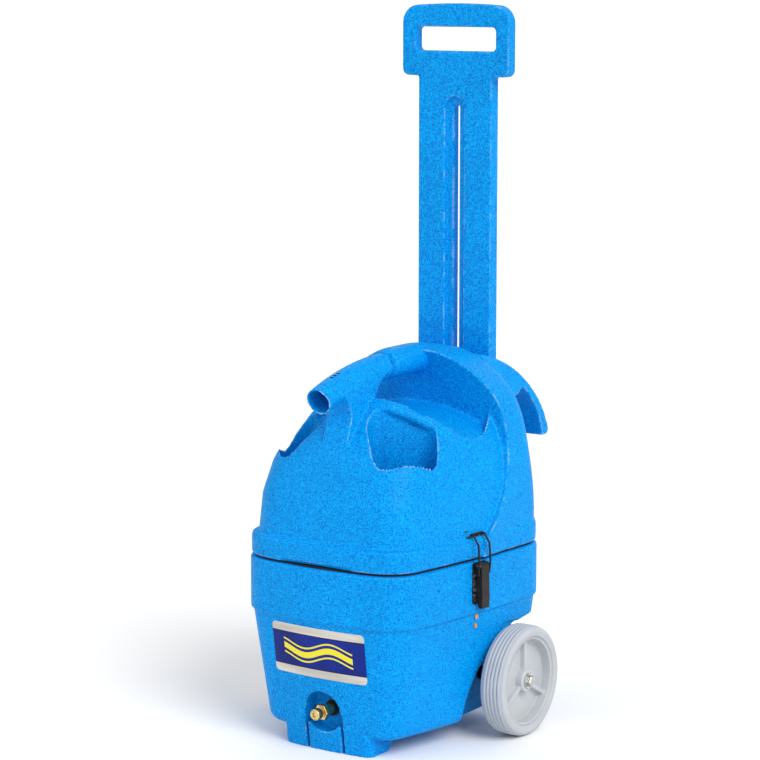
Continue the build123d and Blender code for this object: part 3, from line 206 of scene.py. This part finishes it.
def moulded(name, light, dark, rough=(0.45, 0.6), grain=500.0, bump=0.12, specular=0.5):
    """Moulded plastic or rubber with a faint mottle, fine grain and painted shade that darkens the hollows."""
    mat = Material(name)
    colour = mat.mix(mat.ramp(mat.noise(24.0, 5.0, 0.6), ((0.35, 0.0), (0.65, 1.0))), dark, light)
    # Painted shade: hollows (low pointiness) are darkened towards a deeper tone of the dark colour.
    painted_hollow_shade = mat.ramp(mat.node("ShaderNodeNewGeometry").outputs["Pointiness"], ((0.40, 1.0), (0.47, 0.0)))
    colour = mat.mix(mat.maths("MULTIPLY", painted_hollow_shade, 0.25), colour, tuple(0.55 * part + 0.02 for part in dark))
    mat.bump(mat.noise(grain, 3.0), bump, 0.0005)
    roughness = mat.ramp(mat.noise(70.0, 4.0), ((0.3, rough[0]), (0.7, rough[1])))
    return mat.finish(colour, roughness, specular=specular)


def metal(name, light, dark, rough=(0.22, 0.42), brushed=(1.0, 1.0, 1.0)):
    """Plated or bare metal with uneven tarnish and fine tool marks."""
    mat = Material(name)
    tarnish = mat.ramp(mat.noise(130.0, 6.0, 0.65), ((0.35, 0.0), (0.68, 1.0)))
    colour = mat.mix(tarnish, light, dark)
    mat.bump(mat.noise(900.0, 3.0, 0.6, brushed), 0.15, 0.0003)
    return mat.finish(colour, mat.ramp(mat.noise(220.0, 4.0), ((0.3, rough[0]), (0.7, rough[1]))), 1.0)


def black_paint():
    mat = Material("black_steel")
    gaps = mat.ramp(mat.noise(300.0, 4.0), ((0.5, 0.0), (0.65, 1.0)))
    worn = mat.maths("MULTIPLY", mat.edges(0.56, 0.66), gaps)
    colour = mat.mix(worn, (0.006, 0.006, 0.0065), (0.16, 0.155, 0.15))
    mat.bump(mat.noise(600.0, 3.0), 0.1, 0.0003)
    return mat.finish(colour, mat.ramp(mat.noise(150.0, 4.0), ((0.3, 0.28), (0.7, 0.45))), specular=0.3)


LABEL_MIDDLE_Z = 0.139
LABEL_BAND_Z = 0.023                      # half height of the dark field
BORDER_HALF = 0.0008                      # half width of the line round the field
WAVE_TURN = 74.0                          # radians per metre along the label
WAVE_RISE = 0.0055
WAVE_HALF = 0.0042                        # half width of the broad stripe
STRIPE_OFFSET = 0.0095                    # thin stripes above and below it
STRIPE_HALF = 0.0012
WAVE_END = 0.055                          # half length of the wave


def label_film():
    """Printed film: pale metallic bands above and below a navy field with a generic yellow wave."""
    mat = Material("label_film")
    axes = mat.node("ShaderNodeSeparateXYZ", Vector=mat.place)
    across = axes.outputs["X"]
    up = mat.maths("SUBTRACT", axes.outputs["Z"], LABEL_MIDDLE_Z)
    height = mat.maths("ABSOLUTE", up)
    sheen = mat.noise(200.0, 2.0, 0.5, (0.05, 1.0, 1.0))
    silver = mat.ramp(sheen, ((0.3, (0.50, 0.47, 0.42)), (0.7, (0.66, 0.63, 0.58))))
    navy = mat.mix(mat.ramp(mat.noise(9.0, 3.0), ((0.4, 0.0), (0.6, 1.0))), (0.0, 0.010, 0.16),
                   (0.001, 0.018, 0.26))
    swell = mat.maths("MULTIPLY", mat.maths("SINE", mat.maths("MULTIPLY", across, WAVE_TURN)), WAVE_RISE)
    offset = mat.maths("ABSOLUTE", mat.maths("SUBTRACT", up, swell))
    inside = mat.maths("LESS_THAN", mat.maths("ABSOLUTE", across), WAVE_END)
    wave = mat.maths("MULTIPLY", mat.maths("LESS_THAN", offset, WAVE_HALF), inside)
    from_stripe = mat.maths("ABSOLUTE", mat.maths("SUBTRACT", offset, STRIPE_OFFSET))
    thin = mat.maths("MULTIPLY", mat.maths("LESS_THAN", from_stripe, STRIPE_HALF), inside)
    from_border = mat.maths("ABSOLUTE", mat.maths("SUBTRACT", height, LABEL_BAND_Z))
    border = mat.maths("LESS_THAN", from_border, BORDER_HALF)
    field = mat.maths("LESS_THAN", height, LABEL_BAND_Z)
    colour = mat.mix(field, silver, navy)
    colour = mat.mix(mat.maths("MAXIMUM", wave, thin), colour, (0.83, 0.72, 0.03))
    colour = mat.mix(border, colour, (0.006, 0.010, 0.05))
    scuff = mat.ramp(mat.noise(70.0, 8.0, 0.8), ((0.66, 0.0), (0.76, 0.35)))
    colour = mat.mix(scuff, colour, (0.42, 0.44, 0.48))
    mat.bump(mat.noise(260.0, 3.0), 0.05, 0.0003)
    return mat.finish(colour, mat.ramp(mat.noise(60.0, 4.0), ((0.3, 0.24), (0.7, 0.4))), specular=0.2)


def make_finishes():
    """One material for each slot of the record."""
    return {
        "blue_plastic": blue_plastic(),
        "grey_plastic": moulded("grey_plastic", (0.475, 0.495, 0.52), (0.43, 0.45, 0.475), (0.38, 0.52)),
        "grey_tread": moulded("grey_tread", (0.47, 0.49, 0.52), (0.42, 0.44, 0.47), (0.5, 0.68), 380.0, 0.2),
        "black_steel": black_paint(),
        "zinc_steel": metal("zinc_steel", (0.66, 0.67, 0.64), (0.48, 0.47, 0.40)),
        "copper_rivet": metal("copper_rivet", (0.90, 0.40, 0.16), (0.60, 0.24, 0.09)),
        "brass": metal("brass", (0.86, 0.66, 0.28), (0.52, 0.36, 0.12)),
        "black_plastic": moulded("black_plastic", (0.016, 0.012, 0.010), (0.007, 0.006, 0.005), (0.3, 0.48),
                                  specular=0.3),
        "black_rubber": moulded("black_rubber", (0.016, 0.016, 0.016), (0.007, 0.007, 0.007), (0.6, 0.8),
                                 specular=0.3),
        "label_film": label_film(),
        "white_plastic": moulded("white_plastic", (0.78, 0.78, 0.75), (0.66, 0.66, 0.63)),
        "motor_steel": metal("motor_steel", (0.36, 0.37, 0.38), (0.22, 0.22, 0.22), (0.35, 0.5)),
        "clear_hose": moulded("clear_hose", (0.50, 0.54, 0.57), (0.38, 0.42, 0.45), (0.25, 0.4)),
    }


SLOT_OF = {entry["node"]: entry["material_slot"] for entry in frame["record"]["subparts"]}


def paint(obj, finish):
    obj.data.materials.clear()
    obj.data.materials.append(finish)


# ---------------------------------------------------------------- moulded skins
CROWN_RIM = ((0.016, -0.116, 0.459), (0.046, -0.108, 0.459), (0.072, -0.093, 0.448), (0.094, -0.075, 0.433),
             (0.108, -0.056, 0.420))      # from the tube's neck outwards, between left pocket and hand space
CROWN_RIM_R = 0.0075


def crown_rims(mesh):
    """Adds a rim behind each bottle pocket, where the CAD shell is open; the remesh joins it to the shell."""
    shape = bmesh.new()
    shape.from_mesh(mesh)
    for side in (-1, 1):
        for start, end in zip(CROWN_RIM, CROWN_RIM[1:]):
            start, end = (Vector((side * x, y, z)) for x, y, z in (start, end))
            turn = (end - start).to_track_quat("Z", "Y").to_matrix().to_4x4()
            place = Matrix.Translation((start + end) / 2) @ turn
            bmesh.ops.create_cone(shape, cap_ends=True, segments=24, radius1=CROWN_RIM_R, radius2=CROWN_RIM_R,
                                  depth=(end - start).length, matrix=place)
            for middle in (start, end):
                bmesh.ops.create_icosphere(shape, subdivisions=3, radius=CROWN_RIM_R,
                                           matrix=Matrix.Translation(middle))
    shape.to_mesh(mesh)
    shape.free()


def stand_in(obj, node, body):
    """Gives a new piece its CAD node's finish, place in the model and body."""
    paint(obj, FINISHES[SLOT_OF[node]])
    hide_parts(node)
    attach(obj, body)


def skin(node, name, body, voxel, rounds):
    """Softened copy of a moulded CAD solid, remeshed so that its corners take a moulded radius."""
    obj = bpy.data.objects.new(name, NODES[node].data.copy())
    if node == "dome_shell":
        crown_rims(obj.data)
    SCENE.collection.objects.link(obj)
    remesh = obj.modifiers.new("remesh", "REMESH")
    remesh.mode = "VOXEL"
    remesh.voxel_size = voxel
    smooth = obj.modifiers.new("smooth", "SMOOTH")
    smooth.factor = 0.5
    smooth.iterations = rounds
    evaluated = obj.evaluated_get(bpy.context.evaluated_depsgraph_get())
    mesh = bpy.data.meshes.new_from_object(evaluated)
    obj.modifiers.clear()
    obj.data = mesh
    mesh.name = name
    mesh.shade_smooth()
    stand_in(obj, node, body)


def lathe(name, node, body, profile, steps):
    """Turns a closed (x, radius) outline about the wheel's axle; it replaces the CAD node."""
    low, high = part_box(node)
    centre_y, centre_z = (low[1] + high[1]) / 2, (low[2] + high[2]) / 2
    mesh = bpy.data.meshes.new(name)
    shape = bmesh.new()
    rings = []
    for step in range(steps):
        turn = 2 * math.pi * step / steps
        across, up = math.cos(turn), math.sin(turn)
        rings.append([shape.verts.new((x, centre_y + radius * across, centre_z + radius * up))
                      for x, radius in profile])
    for step, ring in enumerate(rings):
        after = rings[(step + 1) % steps]
        for here in range(len(profile)):
            there = (here + 1) % len(profile)
            shape.faces.new((ring[here], ring[there], after[there], after[here]))
    bmesh.ops.recalc_face_normals(shape, faces=shape.faces)
    shape.to_mesh(mesh)
    shape.free()
    obj = bpy.data.objects.new(name, mesh)
    SCENE.collection.objects.link(obj)
    mesh.shade_smooth()
    stand_in(obj, node, body)


TYRE_INNER_R = 0.0611
TYRE_WALL = 0.010                         # depth of the tyre's inner side below the tread
TYRE_STEPS = 144                          # round the wheel
SHOULDER = 0.0052
SHOULDER_DROP = 0.0016                    # shoulders lie this far below the ribs
SHOULDER_STEPS = 4
RIBS = 5
RIB_STEPS = 12
RIB_DEPTH = 0.0021
RIB_ROUNDNESS = 0.45                      # 1 is a sine wave, lower is squarer
TREAD_CROWN = 0.0006
LIP_STEP = 0.0006                         # outer side set in under the shoulder
LIP_TOP, LIP_BOTTOM = 0.0095, 0.0102      # levels of that step below the tread
LIP_BEVEL, LIP_SINK = 0.003, 0.001        # bevel beside the hub


def tyre(side):
    """Solid tyre with round-topped ribs across its tread and a soft lip beside the hub."""
    low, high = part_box(f"tyre_{side}")
    outward = 1 if side == "left" else -1
    outer_x, inner_x = (high[0], low[0]) if side == "left" else (low[0], high[0])
    width, radius = abs(outer_x - inner_x), (high[2] - low[2]) / 2
    profile = [(inner_x, TYRE_INNER_R), (inner_x, radius - TYRE_WALL)]
    turns = [math.pi / 2 * step / SHOULDER_STEPS for step in range(SHOULDER_STEPS + 1)]
    for turn in turns:                                               # inner shoulder
        profile.append((inner_x + outward * SHOULDER * (1 - math.cos(turn)),
                        radius - SHOULDER_DROP - SHOULDER * (1 - math.sin(turn))))
    start, span = inner_x + outward * SHOULDER, width - 2 * SHOULDER
    samples = RIB_STEPS * RIBS
    for step in range(1, samples):                                   # ribs
        along = step / samples
        rise = abs(math.sin(math.pi * RIBS * along)) ** RIB_ROUNDNESS
        crown = TREAD_CROWN * (2 * along - 1) ** 2
        profile.append((start + outward * span * along, radius - RIB_DEPTH * (1 - rise) - crown))
    for turn in reversed(turns):                                     # outer shoulder
        profile.append((outer_x - outward * SHOULDER * (1 - math.cos(turn)),
                        radius - SHOULDER_DROP - SHOULDER * (1 - math.sin(turn))))
    side_x = outer_x - outward * LIP_STEP
    profile += [(outer_x, radius - LIP_TOP), (side_x, radius - LIP_BOTTOM), (side_x, TYRE_INNER_R + LIP_BEVEL),
                (side_x - outward * LIP_SINK, TYRE_INNER_R)]
    lathe(f"tyre_skin_{side}", f"tyre_{side}", f"wheel_{side}", profile, TYRE_STEPS)


add_camera()
add_stage()
FINISHES = make_finishes()
for node_name, node_object in NODES.items():
    paint(node_object, FINISHES[SLOT_OF[node_name]])

BODY_VOXEL = 0.0018
BASE_VOXEL = 0.0013
WHEEL_VOXEL = 0.0008
LEVER_VOXEL = 0.0004
skin("dome_shell", "dome_skin", "dome", BODY_VOXEL, 8)
skin("base_tank", "base_skin", "base", BASE_VOXEL, 6)
skin("pull_handle", "handle_skin", "handle", BODY_VOXEL, 4)
for side in ("left", "right"):
    skin(f"wheel_hub_{side}", f"hub_skin_{side}", f"wheel_{side}", WHEEL_VOXEL, 4)
    tyre(side)
    skin(f"latch_lever_{side}", f"lever_skin_{side}", f"lever_{side}", LEVER_VOXEL, 3)
